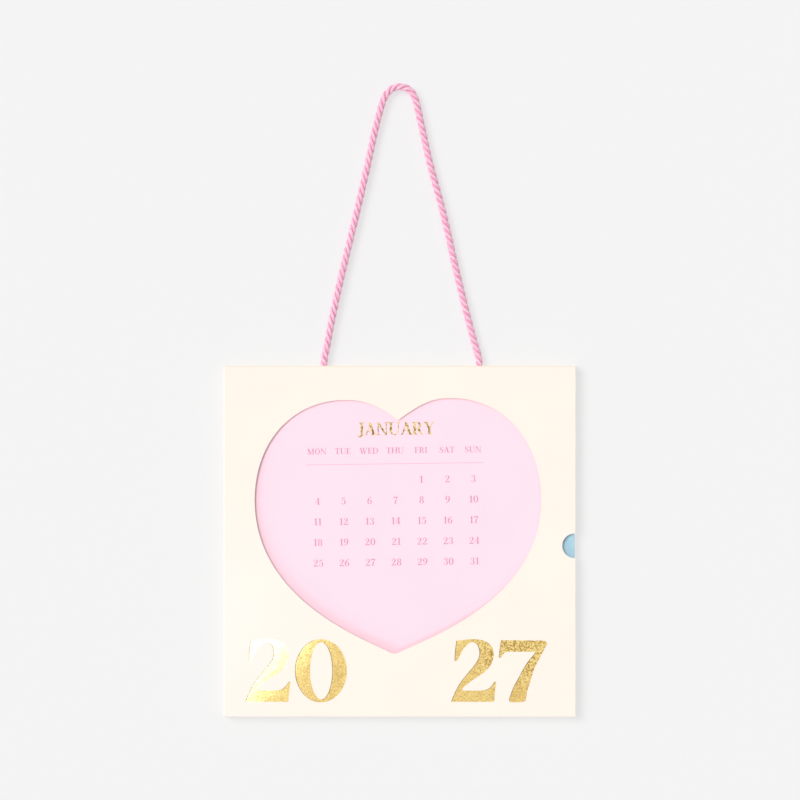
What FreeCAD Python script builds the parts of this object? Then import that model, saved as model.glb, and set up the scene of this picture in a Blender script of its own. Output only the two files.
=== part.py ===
import FreeCAD, Part
import math
import os

import Sketcher

# A wall calendar: a square card sleeve, folded from one sheet and open at its right edge, holds a loose
# card for each month and hangs on a loop of twisted cord. The month in front shows through a heart-shaped
# window. Lengths in millimetres, +Z up, +X to the viewer's right, the front faces -Y.
# The origin is on the wall, at the top of the peg that carries the loop.

MONTHS = ["january", "february", "march", "april", "may", "june", "july", "august", "september",
          "october", "november", "december"]

SIZES = {
    # the sleeve and its board
    "sleeve_width": 200.0,
    "sleeve_height": 200.0,
    "board": 0.5,
    "crease_radius": 0.3,       # inside a fold
    "corner_relief": 1.0,       # the strips stop this far short of the spine, and the panels of the strips
    "flap_length": 15.0,        # glue flaps, stuck inside the back panel
    "flap_taper": 6.0,          # cut off each flap's free corners
    # the half-round thumb notch in the front panel's open edge
    "notch_radius": 7.0,
    "notch_depth": 7.4,
    "notch_drop": 102.4,        # its middle, below the sleeve's top edge
    # the heart-shaped window: drops are from the sleeve's top edge, offsets from the heart's own axis
    "heart_shift": 0.85,        # the heart's axis lies left of the sleeve's middle
    "heart_lean": 1.8,          # and its tip further left
    "cusp_drop": 31.0,
    "cusp_angle": 36.0,
    "left_lobe_drop": 19.5,
    "right_lobe_drop": 18.4,
    "lobe_offset": 29.8,
    "widest_drop": 76.3,
    "widest_offset": 81.5,
    "tip_drop": 164.3,
    "tip_angle": 27.0,
    "tip_round": 5.0,
    # shares of each stretch that its curve's handles take
    "cusp_fullness": 0.40,
    "crown_fullness": 0.43,
    "shoulder_fullness": 0.60,
    "side_fullness": 0.57,
    "flank_fullness": 0.66,
    "point_fullness": 0.20,
    # the month cards
    "card_thickness": 0.35,
    "card_gap": 0.06,           # play beside each card
    "front_play": 0.8,          # more play in front of the first card
    "card_side_room": 10.0,     # sleeve's inside width, less a card's width
    "card_top_room": 9.0,       # sleeve's inside height, less a card's height
    "card_inset": 0.3,          # stored cards' edges, inside the open edge
    "front_card_clear": 1.0,    # front card's nearest corner to the spine
    "front_card_tilt": 0.8,     # degrees, right side up
    # the hanging cord and the bars on its ends
    "hang_drop": 156.9,         # sleeve's top edge, below the peg
    "cord_diameter": 4.2,
    "cord_play": 0.05,          # around the cord in its holes
    "left_hole": 43.0,
    "right_hole": 45.5,
    "bar_length": 20.0,
    "bar_width": 3.6,
    "bar_height": 2.8,
    "bar_round": 1.0,
}

CAVITY = f"(Sizes.front_play + {len(MONTHS)} * Sizes.card_thickness + {len(MONTHS) + 1} * Sizes.card_gap)"
DEPTH = f"(3 * Sizes.board + {CAVITY})"     # front panel, cavity, glue flap and back panel
MIDDLE = f"(-2 * Sizes.board - {CAVITY} / 2)"
HALF_WIDTH = "Sizes.sleeve_width / 2"
CARD_WIDTH = "(Sizes.sleeve_width - Sizes.board - Sizes.card_side_room)"
CARD_HEIGHT = "(Sizes.sleeve_height - 2 * Sizes.board - Sizes.card_top_room)"

# The cord's route, chosen along the photographed line: x and z from the top of the peg. It rises out of
# the left hole, goes over the peg and comes down into the right hole, pulled nearly straight by the weight.
ROUTE_LEFT = [(-41.2, -145.5), (-38.7, -131.0), (-32.4, -102.5), (-25.1, -73.0), (-18.2, -43.0),
              (-12.9, -17.5)]
ROUTE_RIGHT = [(12.0, -17.5), (17.2, -42.0), (25.2, -70.5), (31.6, -100.0), (38.9, -130.0),
               (43.0, -145.0)]
CROWN_LEFT = -7.0       # the two corners over the peg
CROWN_RIGHT = 7.6
HOLE_RUN = 4.4          # straight up out of each hole, from under the top strip
ARC_SHARE = 0.45        # of the shorter run, taken by the arc at its end

SAME_PLACE = 0.01       # closer than this, two edges or levels are one

doc = FreeCAD.newDocument("WallCalendar")
sheet = doc.addObject("Spreadsheet::Sheet", "Sizes")
for row, (name, size) in enumerate(SIZES.items(), 1):
    sheet.set(f"A{row}", name)
    sheet.set(f"B{row}", str(size))
    sheet.setAlias(f"B{row}", name)
doc.recompute()


def value(text):
    """The number that an expression on the sheet gives now."""
    return float(sheet.evalExpression(text.replace("Sizes.", "")))


def new_body(name):
    body = doc.addObject("PartDesign::Body", name)
    body.Label = name
    return body


def new_sketch(body, name, role, offset):
    """A sketch on one of the body's own planes, moved along the plane's normal by an expression."""
    sketch = body.newObject("Sketcher::SketchObject", name)
    plane = [feature for feature in body.Origin.OriginFeatures if feature.Role == role][0]
    sketch.AttachmentSupport = [(plane, "")]
    sketch.MapMode = "FlatFace"
    sketch.setExpression("AttachmentOffset.Base.z", offset)
    return sketch


def pin(sketch, line, end, text_x, text_y):
    """Ties a point of the sketch to the origin by two expressions."""
    for kind, text in (("DistanceX", text_x), ("DistanceY", text_y)):
        index = sketch.addConstraint(Sketcher.Constraint(kind, -1, 1, line, end, value(text)))
        sketch.setExpression(f"Constraints[{index}]", text)


def trace(sketch, corners):
    """A closed outline of straight lines through corners that are pairs of expressions."""
    points = [FreeCAD.Vector(value(x), value(y), 0) for x, y in corners]
    count = len(points)
    for i in range(count):
        sketch.addGeometry(Part.LineSegment(points[i], points[(i + 1) % count]), False)
    for i in range(count):
        sketch.addConstraint(Sketcher.Constraint("Coincident", i, 2, (i + 1) % count, 1))
    for i, (x, y) in enumerate(corners):
        pin(sketch, i, 1, x, y)


def circle(sketch, text_x, text_y, text_radius):
    centre = FreeCAD.Vector(value(text_x), value(text_y), 0)
    line = sketch.addGeometry(Part.Circle(centre, FreeCAD.Vector(0, 0, 1), value(text_radius)), False)
    pin(sketch, line, 3, text_x, text_y)
    index = sketch.addConstraint(Sketcher.Constraint("Radius", line, value(text_radius)))
    sketch.setExpression(f"Constraints[{index}]", text_radius)


def pad(body, name, sketch, length):
    feature = body.newObject("PartDesign::Pad", name)
    feature.Profile = sketch
    feature.setExpression("Length", length)
    doc.recompute()


def pocket(body, name, sketch, length):
    """Cuts into the body against the sketch's normal, and makes sure that it did."""
    before = body.Shape.Volume
    feature = body.newObject("PartDesign::Pocket", name)
    feature.Profile = sketch
    feature.setExpression("Length", length)
    doc.recompute()
    if body.Shape.Volume >= before:
        raise RuntimeError(f"{name} cut nothing")


def edges_along(body, direction, places):
    """The names of the body's straight edges along a direction that pass through the given places."""
    names = []
    for number, edge in enumerate(body.Shape.Edges, 1):
        if edge.Curve.TypeId != "Part::GeomLine" or edge.tangentAt(0).cross(direction).Length > SAME_PLACE:
            continue
        for place in places:
            offset = edge.Vertexes[0].Point - place
            if offset.cross(direction).Length < SAME_PLACE:
                names.append(f"Edge{number}")
    return names


def dress(body, kind, name, edges, size_name, size):
    """A fillet or chamfer on named edges of the body's last feature."""
    base = body.Tip
    feature = body.newObject(f"PartDesign::{kind}", name)
    feature.Base = (base, edges)
    feature.setExpression(size_name, size)
    doc.recompute()


def curve(start, start_handle, end_handle, end):
    """One cubic curve between two points, as the sketch takes it."""
    spline = Part.BSplineCurve()
    spline.buildFromPolesMultsKnots([start, start + start_handle, end + end_handle, end],
                                    [4, 4], [0.0, 1.0], False, 3)
    return spline


def polar(length, degrees):
    angle = math.radians(degrees)
    return FreeCAD.Vector(length * math.cos(angle), length * math.sin(angle), 0)


def heart_outline():
    """Six curves round the heart, from the cusp over each lobe and down each flank to the tip, whose point
    is rounded by an arc. The sketch's x runs along +X and its y along +Z, from the sleeve's top edge."""
    size = {name: value(name) for name in SIZES}
    axis = -size["heart_shift"]
    cusp = FreeCAD.Vector(axis, -size["cusp_drop"], 0)
    tip = FreeCAD.Vector(axis - size["heart_lean"], -size["tip_drop"], 0)
    # where the tip's arc meets the two straight ends of the flanks
    cut = size["tip_round"] * math.tan(math.radians(size["tip_angle"]))
    curves = []
    ends = []
    for side, lobe_drop in ((-1, size["left_lobe_drop"]), (1, size["right_lobe_drop"])):
        lobe = FreeCAD.Vector(axis + side * size["lobe_offset"], -lobe_drop, 0)
        widest = FreeCAD.Vector(axis + side * size["widest_offset"], -size["widest_drop"], 0)
        climb = 90 - side * (90 - size["cusp_angle"])
        rise = 90 - side * (90 - size["tip_angle"])
        end = tip + polar(cut, rise)
        outward = FreeCAD.Vector(side, 0, 0)
        upward = FreeCAD.Vector(0, 1, 0)
        reach = widest.x - lobe.x
        curves.append(curve(cusp, polar(size["cusp_fullness"] * size["lobe_offset"], climb),
                            outward * (-size["crown_fullness"] * size["lobe_offset"]), lobe))
        curves.append(curve(lobe, outward * (size["shoulder_fullness"] * abs(reach)),
                            upward * (size["side_fullness"] * (lobe.y - widest.y)), widest))
        curves.append(curve(widest, upward * (-size["flank_fullness"] * (widest.y - end.y)),
                            polar(size["point_fullness"] * size["widest_offset"], rise), end))
        ends.append(end)
    lowest = tip + FreeCAD.Vector(0, size["tip_round"] * (1 / math.cos(math.radians(size["tip_angle"])) - 1), 0)
    curves.append(Part.Arc(ends[0], lowest, ends[1]))
    return curves


def strip_profile(side):
    """The top (1) or bottom (-1) strip in section: front leg, strip, and glue flap inside the back panel.
    The sketch's x runs along +Y and its y along +Z, from the sleeve's top edge."""
    edge = "0" if side > 0 else "-Sizes.sleeve_height"
    down = "-" if side > 0 else "+"
    return [(f"-{DEPTH}", f"{edge} {down} Sizes.corner_relief"),
            (f"-{DEPTH}", edge),
            ("-Sizes.board", edge),
            ("-Sizes.board", f"{edge} {down} Sizes.flap_length"),
            ("-2 * Sizes.board", f"{edge} {down} Sizes.flap_length"),
            ("-2 * Sizes.board", f"{edge} {down} Sizes.board"),
            (f"-{DEPTH} + Sizes.board", f"{edge} {down} Sizes.board"),
            (f"-{DEPTH} + Sizes.board", f"{edge} {down} Sizes.corner_relief")]


def make_sleeve():
    """Front panel, spine and back panel wrapped as one, then the two strips with their glue flaps, then the
    die-cut openings. Its own frame has its origin at the middle of the top edge, on the wall."""
    body = new_body("sleeve")
    wrap = new_sketch(body, "sleeve_wrap_section", "XY_Plane", "Sizes.corner_relief - Sizes.sleeve_height")
    trace(wrap, [(HALF_WIDTH, f"-{DEPTH}"),
                 (f"-{HALF_WIDTH}", f"-{DEPTH}"),
                 (f"-{HALF_WIDTH}", "0"),
                 (HALF_WIDTH, "0"),
                 (HALF_WIDTH, "-Sizes.board"),
                 (f"-{HALF_WIDTH} + Sizes.board", "-Sizes.board"),
                 (f"-{HALF_WIDTH} + Sizes.board", f"-{DEPTH} + Sizes.board"),
                 (HALF_WIDTH, f"-{DEPTH} + Sizes.board")])
    pad(body, "sleeve_wrap", wrap, "Sizes.sleeve_height - 2 * Sizes.corner_relief")

    left, front = -value(HALF_WIDTH), -value(DEPTH)
    board = value("board")
    upright = FreeCAD.Vector(0, 0, 1)
    outer = [FreeCAD.Vector(left, front, 0), FreeCAD.Vector(left, 0, 0)]
    inner = [FreeCAD.Vector(left + board, front + board, 0), FreeCAD.Vector(left + board, -board, 0)]
    dress(body, "Fillet", "spine_folds", edges_along(body, upright, outer), "Radius",
          "Sizes.crease_radius + Sizes.board")
    dress(body, "Fillet", "spine_creases", edges_along(body, upright, inner), "Radius", "Sizes.crease_radius")

    for name, side in (("top", 1), ("bottom", -1)):
        section = new_sketch(body, f"{name}_strip_section", "YZ_Plane", f"Sizes.corner_relief - {HALF_WIDTH}")
        trace(section, strip_profile(side))
        pad(body, f"{name}_strip", section, "Sizes.sleeve_width - Sizes.corner_relief")

    across = FreeCAD.Vector(1, 0, 0)
    low = -value("sleeve_height")
    outer = [FreeCAD.Vector(0, y, z) for y in (front, -board) for z in (0, low)]
    inner = [FreeCAD.Vector(0, y, z) for y in (front + board, -2 * board) for z in (-board, low + board)]
    dress(body, "Fillet", "strip_folds", edges_along(body, across, outer), "Radius",
          "Sizes.crease_radius + Sizes.board")
    dress(body, "Fillet", "strip_creases", edges_along(body, across, inner), "Radius", "Sizes.crease_radius")

    flap = value("flap_length")
    ends = (left + value("corner_relief"), -left)
    corners = [FreeCAD.Vector(x, 0, z) for x in ends for z in (-flap, low + flap)]
    dress(body, "Chamfer", "flap_corners", edges_along(body, FreeCAD.Vector(0, 1, 0), corners), "Size",
          "Sizes.flap_taper")

    window = new_sketch(body, "heart_outline", "XZ_Plane", DEPTH)
    window.addGeometry(heart_outline(), False)
    pocket(body, "heart_window", window, "Sizes.board + Sizes.card_gap")

    notch = new_sketch(body, "notch_outline", "XZ_Plane", DEPTH)
    circle(notch, f"{HALF_WIDTH} - Sizes.notch_depth + Sizes.notch_radius", "-Sizes.notch_drop",
           "Sizes.notch_radius")
    pocket(body, "thumb_notch", notch, "Sizes.board + Sizes.card_gap")

    holes = new_sketch(body, "cord_holes_outline", "XY_Plane", "0")
    for place in ("-Sizes.left_hole", "Sizes.right_hole"):
        circle(holes, place, MIDDLE, "Sizes.cord_diameter / 2 + Sizes.cord_play")
    pocket(body, "cord_holes", holes, "Sizes.board + Sizes.crease_radius")
    body.setExpression("Placement.Base.z", "-Sizes.hang_drop")
    return body


def make_card(index, month):
    """A loose card. The first one stands in front, pushed in towards the spine and a little tilted; the
    others are stored behind it with their edges at the sleeve's open side."""
    card = doc.addObject("Part::Box", f"card_{month}")
    card.Label = f"card_{month}"
    card.setExpression("Length", CARD_WIDTH)
    card.setExpression("Width", "Sizes.card_thickness")
    card.setExpression("Height", CARD_HEIGHT)
    card.setExpression("Placement.Base.y",
                       f"-{DEPTH} + Sizes.board + Sizes.front_play + Sizes.card_gap"
                       f" + {index} * (Sizes.card_thickness + Sizes.card_gap)")
    # its lower edge bears on the rounded creases along the bottom strip
    card.setExpression("Placement.Base.z",
                       "-Sizes.hang_drop - Sizes.sleeve_height + Sizes.board + Sizes.crease_radius")
    if index == 0:
        card.setExpression("Placement.Base.x",
                           f"-{HALF_WIDTH} + Sizes.board + Sizes.front_card_clear"
                           f" + {CARD_HEIGHT} * sin(Sizes.front_card_tilt * 1 deg)")
        card.Placement.Rotation = FreeCAD.Rotation(FreeCAD.Vector(0, 1, 0), -value("front_card_tilt"))
    else:
        card.setExpression("Placement.Base.x", f"{HALF_WIDTH} - Sizes.card_inset - {CARD_WIDTH}")
    return card


def make_end_bar(name, place):
    """A moulded bar on the cord's end: a stadium in plan, flat on top, where it bears against the underside
    of the top strip, and rounded below."""
    body = new_body(name)
    outline = new_sketch(body, f"{name}_plan", "XY_Plane", "-Sizes.bar_height")
    half = "(Sizes.bar_length - Sizes.bar_width) / 2"
    radius = value("bar_width") / 2
    reach = value(half)
    turn = FreeCAD.Vector(0, 0, 1)
    right = Part.ArcOfCircle(Part.Circle(FreeCAD.Vector(reach, 0, 0), turn, radius), -math.pi / 2, math.pi / 2)
    left = Part.ArcOfCircle(Part.Circle(FreeCAD.Vector(-reach, 0, 0), turn, radius),
                            math.pi / 2, 3 * math.pi / 2)
    top = Part.LineSegment(FreeCAD.Vector(reach, radius, 0), FreeCAD.Vector(-reach, radius, 0))
    bottom = Part.LineSegment(FreeCAD.Vector(-reach, -radius, 0), FreeCAD.Vector(reach, -radius, 0))
    outline.addGeometry([right, top, left, bottom], False)
    for first, second in ((0, 1), (1, 2), (2, 3), (3, 0)):
        outline.addConstraint(Sketcher.Constraint("Tangent", first, 2, second, 1))
    pin(outline, 0, 3, half, "0")
    pin(outline, 2, 3, f"-{half}", "0")
    index = outline.addConstraint(Sketcher.Constraint("Radius", 0, radius))
    outline.setExpression(f"Constraints[{index}]", "Sizes.bar_width / 2")
    pad(body, f"{name}_block", outline, "Sizes.bar_height")
    under = [f"Edge{number}" for number, edge in enumerate(body.Shape.Edges, 1)
             if edge.BoundBox.ZMax < -value("bar_height") + SAME_PLACE]
    dress(body, "Fillet", f"{name}_rounding", under, "Radius", "Sizes.bar_round")
    body.setExpression("Placement.Base.x", place)
    body.setExpression("Placement.Base.y", MIDDLE)
    body.setExpression("Placement.Base.z", "-Sizes.hang_drop - Sizes.board")
    return body


def cord_path(points):
    """Straight runs joined by tangent arcs, each as large as its two runs allow. Prints the radii."""
    edges = []
    radii = []
    start = points[0]
    for before, corner, after in zip(points, points[1:], points[2:]):
        run_in = corner - before
        run_out = after - corner
        half_turn = run_in.getAngle(run_out) / 2
        cut = ARC_SHARE * min(run_in.Length, run_out.Length)
        radii.append(cut / math.tan(half_turn))
        enter = corner - run_in.normalize() * cut
        leave = corner + run_out.normalize() * cut
        bisector = (leave + enter) * 0.5 - corner
        middle = corner + bisector.normalize() * (radii[-1] / math.cos(half_turn) - radii[-1])
        edges.append(Part.LineSegment(start, enter).toShape())
        edges.append(Part.Arc(enter, middle, leave).toShape())
        start = leave
    edges.append(Part.LineSegment(start, points[-1]).toShape())
    print("cord radii", [round(radius, 1) for radius in radii])
    return Part.Wire(edges)


def make_cord():
    """The twisted cord as a plain round tube, from the bar under its left hole to the one under its right
    hole. A Part::Feature, because no sketch holds a route chosen by hand."""
    radius = value("cord_diameter") / 2
    under_strip = -value("hang_drop") - value("board")
    left, right = -value("left_hole"), value("right_hole")
    plan = [(left, under_strip), (left, under_strip + HOLE_RUN), *ROUTE_LEFT, (CROWN_LEFT, radius),
            (CROWN_RIGHT, radius), *ROUTE_RIGHT, (right, under_strip + HOLE_RUN), (right, under_strip)]
    depth = value(MIDDLE)
    path = cord_path([FreeCAD.Vector(x, depth, z) for x, z in plan])
    section = Part.Wire(Part.makeCircle(radius, FreeCAD.Vector(left, depth, under_strip),
                                        FreeCAD.Vector(0, 0, 1)))
    tube = path.makePipeShell([section], True, True)
    expected = math.pi * radius ** 2 * path.Length
    print("cord length %.1f, volume %.1f of %.1f" % (path.Length, tube.Volume, expected))
    cord = doc.addObject("Part::Feature", "hanging_cord")
    cord.Label = "hanging_cord"
    cord.Shape = tube
    return cord


def export(parts):
    """Checks every object, then writes each sub-part's solid to a file that has its name."""
    doc.recompute()
    for item in doc.Objects:
        if "Invalid" in item.State or "Error" in item.State:
            raise RuntimeError(f"{item.Name} is {item.State}")
    for part in parts:
        if part.Shape.isNull() or not part.Shape.isValid() or len(part.Shape.Solids) != 1:
            raise RuntimeError(f"{part.Label} isn't one valid solid")
    os.makedirs("parts", exist_ok=True)
    for part in parts:
        part.Shape.exportStep(f"parts/{part.Label}.step")
        print(part.Label, "%.1f mm3" % part.Shape.Volume)


pieces = [make_sleeve()]
pieces += [make_card(index, month) for index, month in enumerate(MONTHS)]
pieces += [make_end_bar("cord_end_left", "-Sizes.left_hole"), make_end_bar("cord_end_right", "Sizes.right_hole")]
pieces.append(make_cord())
export(pieces)
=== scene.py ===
import calendar

import bpy
import numpy as np
from mathutils.geometry import delaunay_2d_cdt
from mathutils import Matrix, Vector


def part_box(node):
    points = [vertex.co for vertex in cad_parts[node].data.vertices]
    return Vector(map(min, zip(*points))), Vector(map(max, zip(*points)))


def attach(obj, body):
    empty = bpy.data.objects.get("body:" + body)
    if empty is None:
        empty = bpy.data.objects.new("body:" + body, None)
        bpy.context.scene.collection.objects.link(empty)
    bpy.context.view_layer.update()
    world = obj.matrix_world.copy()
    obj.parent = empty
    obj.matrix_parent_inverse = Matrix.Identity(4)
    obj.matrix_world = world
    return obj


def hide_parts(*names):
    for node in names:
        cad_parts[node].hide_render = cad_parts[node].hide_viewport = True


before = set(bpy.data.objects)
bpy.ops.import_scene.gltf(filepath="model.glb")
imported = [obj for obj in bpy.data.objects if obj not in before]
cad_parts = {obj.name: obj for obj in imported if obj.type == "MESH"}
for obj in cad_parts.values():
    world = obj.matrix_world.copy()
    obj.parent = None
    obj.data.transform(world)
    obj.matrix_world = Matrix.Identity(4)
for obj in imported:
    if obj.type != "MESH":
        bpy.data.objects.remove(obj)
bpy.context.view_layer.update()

# The viewpoint: the calendar hangs straight in front of the viewer, seen from two metres away through a
# long lens, with its sleeve in the lower half of the picture and the cord's loop above.
PICTURE_WIDTH = 0.4550      # what the picture takes in at the sleeve's face
PICTURE_CENTRE = (0.0003, -0.1764)
VIEW_DISTANCE = 2.0
FILM_WIDTH = 36.0

camera = bpy.data.objects.new("camera", bpy.data.cameras.new("camera"))
camera.data.sensor_width = FILM_WIDTH
camera.data.lens = FILM_WIDTH * VIEW_DISTANCE / PICTURE_WIDTH
camera.location = (PICTURE_CENTRE[0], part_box("sleeve")[0].y - VIEW_DISTANCE, PICTURE_CENTRE[1])
camera.rotation_euler = (np.pi / 2, 0, 0)
bpy.context.scene.collection.objects.link(camera)
bpy.context.scene.camera = camera
bpy.context.scene.view_settings.view_transform = "Standard"

# The hanging cord: three plies of soft pink yarn laid into a rope. It comes up out of the sleeve's top
# strip through two holes and goes over the peg, drawn nearly straight by the sleeve's weight.
CORD_THICK = 0.0042
FIBRE_THICK = 0.00006
PLY_RADIUS = CORD_THICK / 4  # a little fuller than three round plies would be
LAY = 0.0131                # along the cord, for one turn of a ply
YARN_TURN = 0.011           # along a ply, for one turn of its yarns, the other way
YARNS = 5                   # in a ply
YARN_GROOVE = 0.2           # how deep the yarns part, as a share of the ply's radius
PLIES = 3
PLY_SIDES = 30              # facets round a ply
RING_STEP = 0.0005          # from one ring of a ply to the next
FIBRES = 2600
FIBRE_RINGS, FIBRE_SIDES = 5, 3
BARE_START, BARE_END = 8, 12    # rings without fibres at the cord's two ends
UV_PER_METRE = 1000         # the yarn's UVs count millimetres
CORD_ROUTE = [(-0.0430, -0.1574), (-0.0430, -0.1530), (-0.0412, -0.1455), (-0.0387, -0.1310),
              (-0.0324, -0.1025), (-0.0251, -0.0730), (-0.0182, -0.0430), (-0.0129, -0.0175),
              (-0.0070, 0.0021), (0.0076, 0.0021), (0.0120, -0.0175), (0.0172, -0.0420),
              (0.0252, -0.0705), (0.0316, -0.1000), (0.0389, -0.1300), (0.0430, -0.1450),
              (0.0455, -0.1530), (0.0455, -0.1574)]
cord_low, cord_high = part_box("hanging_cord")
CORD_DEPTH = (cord_low.y + cord_high.y) / 2


def new_material(name):
    """An empty node material: the material, its node tree and its shader."""
    material = bpy.data.materials.new(name)
    material.use_nodes = True
    return material, material.node_tree, material.node_tree.nodes["Principled BSDF"]


def node(tree, kind, **settings):
    """Adds a node. A setting is an input where the node has one of that name, and else a property."""
    made = tree.nodes.new(kind)
    for name, setting in settings.items():
        if name in made.inputs:
            made.inputs[name].default_value = setting
        else:
            setattr(made, name, setting)
    return made


def noise(tree, place, scale, detail=2.0, stretch=(1, 1, 1)):
    """Noise on a place socket, finer the higher the scale, with the place stretched first."""
    mapping = node(tree, "ShaderNodeMapping", Scale=stretch)
    tree.links.new(place, mapping.inputs["Vector"])
    made = node(tree, "ShaderNodeTexNoise", Scale=scale, Detail=detail)
    tree.links.new(mapping.outputs[0], made.inputs["Vector"])
    return made.outputs["Fac"]


def ramp(tree, value, stops):
    """Colours along a value: stops of (position, linear colour)."""
    made = node(tree, "ShaderNodeValToRGB")
    elements = made.color_ramp.elements
    for index, (position, colour) in enumerate(stops):
        element = elements[index] if index < 2 else elements.new(position)
        element.position = position
        element.color = (*colour, 1)
    tree.links.new(value, made.inputs[0])
    return made.outputs["Color"]


def blend(tree, share, first, second):
    """Two values mixed, with a share of the second."""
    made = node(tree, "ShaderNodeMix", data_type="FLOAT")
    made.inputs[0].default_value = share
    tree.links.new(first, made.inputs[2])
    tree.links.new(second, made.inputs[3])
    return made.outputs[0]


def bump(tree, shader, height, distance, under=None):
    """Roughens the shader's surface by a height socket. Another bump can lie under it."""
    made = node(tree, "ShaderNodeBump", Strength=1.0, Distance=distance)
    tree.links.new(height, made.inputs["Height"])
    if under:
        tree.links.new(under, made.inputs["Normal"])
    tree.links.new(made.outputs[0], shader.inputs["Normal"])
    return made.outputs[0]


def yarn():
    """Soft spun yarn: fibres along the mesh's UVs, with painted shade, deeper pink, down in the grooves
    between the plies and a painted highlight, paler pink, where they stand out.
    """
    material, tree, shader = new_material("cord_yarn")
    shader.inputs["Roughness"].default_value = 0.85
    shader.inputs["Sheen Weight"].default_value = 0.25
    shader.inputs["Sheen Tint"].default_value = (1.0, 0.75, 0.85, 1)
    # painted light: from painted shade, deep pink, in the grooves to a painted highlight, pale pink, on the
    # crowns
    crown_light = node(tree, "ShaderNodeAttribute", attribute_name="crown_light").outputs["Fac"]
    tone = ramp(tree, crown_light, [
        (0.15, (0.95, 0.30, 0.49)), (0.60, (0.98, 0.54, 0.70)), (1.0, (0.99, 0.73, 0.85))])
    uv = node(tree, "ShaderNodeTexCoord").outputs["UV"]
    fine = noise(tree, uv, 1.0, 3.0, (0.3, 5.0, 1))
    coarse = noise(tree, uv, 1.0, 2.0, (0.35, 1.7, 1))
    fibres = blend(tree, 0.5, fine, coarse)
    mottle = ramp(tree, fibres, [(0.38, (0.86, 0.56, 0.67)), (0.56, (1.0, 1.0, 1.0))])
    mixed = node(tree, "ShaderNodeMix", data_type="RGBA", blend_type="MULTIPLY")
    mixed.inputs[0].default_value = 1.0
    tree.links.new(tone, mixed.inputs[6])
    tree.links.new(mottle, mixed.inputs[7])
    tree.links.new(mixed.outputs[2], shader.inputs["Base Color"])
    bump(tree, shader, fibres, 0.00016)
    return material


def grid_faces(rows, columns, first=0, around=True):
    """Quads over a grid of vertices in rows. Around joins the last column to the first."""
    across = columns if around else columns - 1
    row, column = np.meshgrid(np.arange(rows - 1), np.arange(across), indexing="ij")
    after = (column + 1) % columns
    corners = [row * columns + column, row * columns + after, (row + 1) * columns + after,
               (row + 1) * columns + column]
    return first + np.stack(corners, -1).reshape(-1, 4)


def new_piece(name, vertices, faces, material, body, rounded=False):
    """A mesh object that rides on a body. Each array of faces has faces with the same number of corners,
    which run round to the left as seen from outside."""
    mesh = bpy.data.meshes.new(name)
    mesh.from_pydata(vertices.tolist(), [], [f for group in faces for f in group.tolist()])
    mesh.polygons.foreach_set("use_smooth", np.full(len(mesh.polygons), rounded))
    mesh.materials.append(material)
    piece = bpy.data.objects.new(name, mesh)
    bpy.context.scene.collection.objects.link(piece)
    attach(piece, body)
    return piece


def cord_line(points):
    """The smooth line of the cord: a NURBS spline with the route's points as its control points."""
    curve = bpy.data.curves.new("cord_line", "CURVE")
    curve.dimensions = "3D"
    spline = curve.splines.new("NURBS")
    spline.points.add(len(points) - 1)
    spline.points.foreach_set("co", np.array([(x, CORD_DEPTH, z, 1) for x, z in points]).ravel())
    spline.order_u = 3
    spline.use_endpoint_u = True
    spline.resolution_u = 24
    carrier = bpy.data.objects.new("cord_line", curve)
    mesh = bpy.data.meshes.new_from_object(carrier)
    line = np.empty(len(mesh.vertices) * 3)
    mesh.vertices.foreach_get("co", line)
    bpy.data.objects.remove(carrier)
    bpy.data.curves.remove(curve)
    bpy.data.meshes.remove(mesh)
    return line.reshape(-1, 3)


def evenly(line, step):
    """The same line with points a step apart, and how far along it each one lies."""
    run = np.concatenate([[0], np.cumsum(np.linalg.norm(np.diff(line, axis=0), axis=1))])
    along = np.linspace(0, run[-1], int(run[-1] / step) + 1)
    return np.stack([np.interp(along, run, line[:, i]) for i in range(3)], 1), along


def unit(vectors):
    """Each vector divided by its own length."""
    return vectors / np.linalg.norm(vectors, axis=-1, keepdims=True)


pink_yarn = yarn()


def dress(piece, crown_light, uv):
    """Gives each vertex its painted light, high where it stands out and low in the grooves, and its UV."""
    mesh = piece.data
    mesh.attributes.new("crown_light", "FLOAT", "POINT").data.foreach_set("value", crown_light)
    corner = np.empty(len(mesh.loops), int)
    mesh.loops.foreach_get("vertex_index", corner)
    mesh.uv_layers.new(name="yarn").data.foreach_set("uv", uv[corner].ravel())


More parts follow.
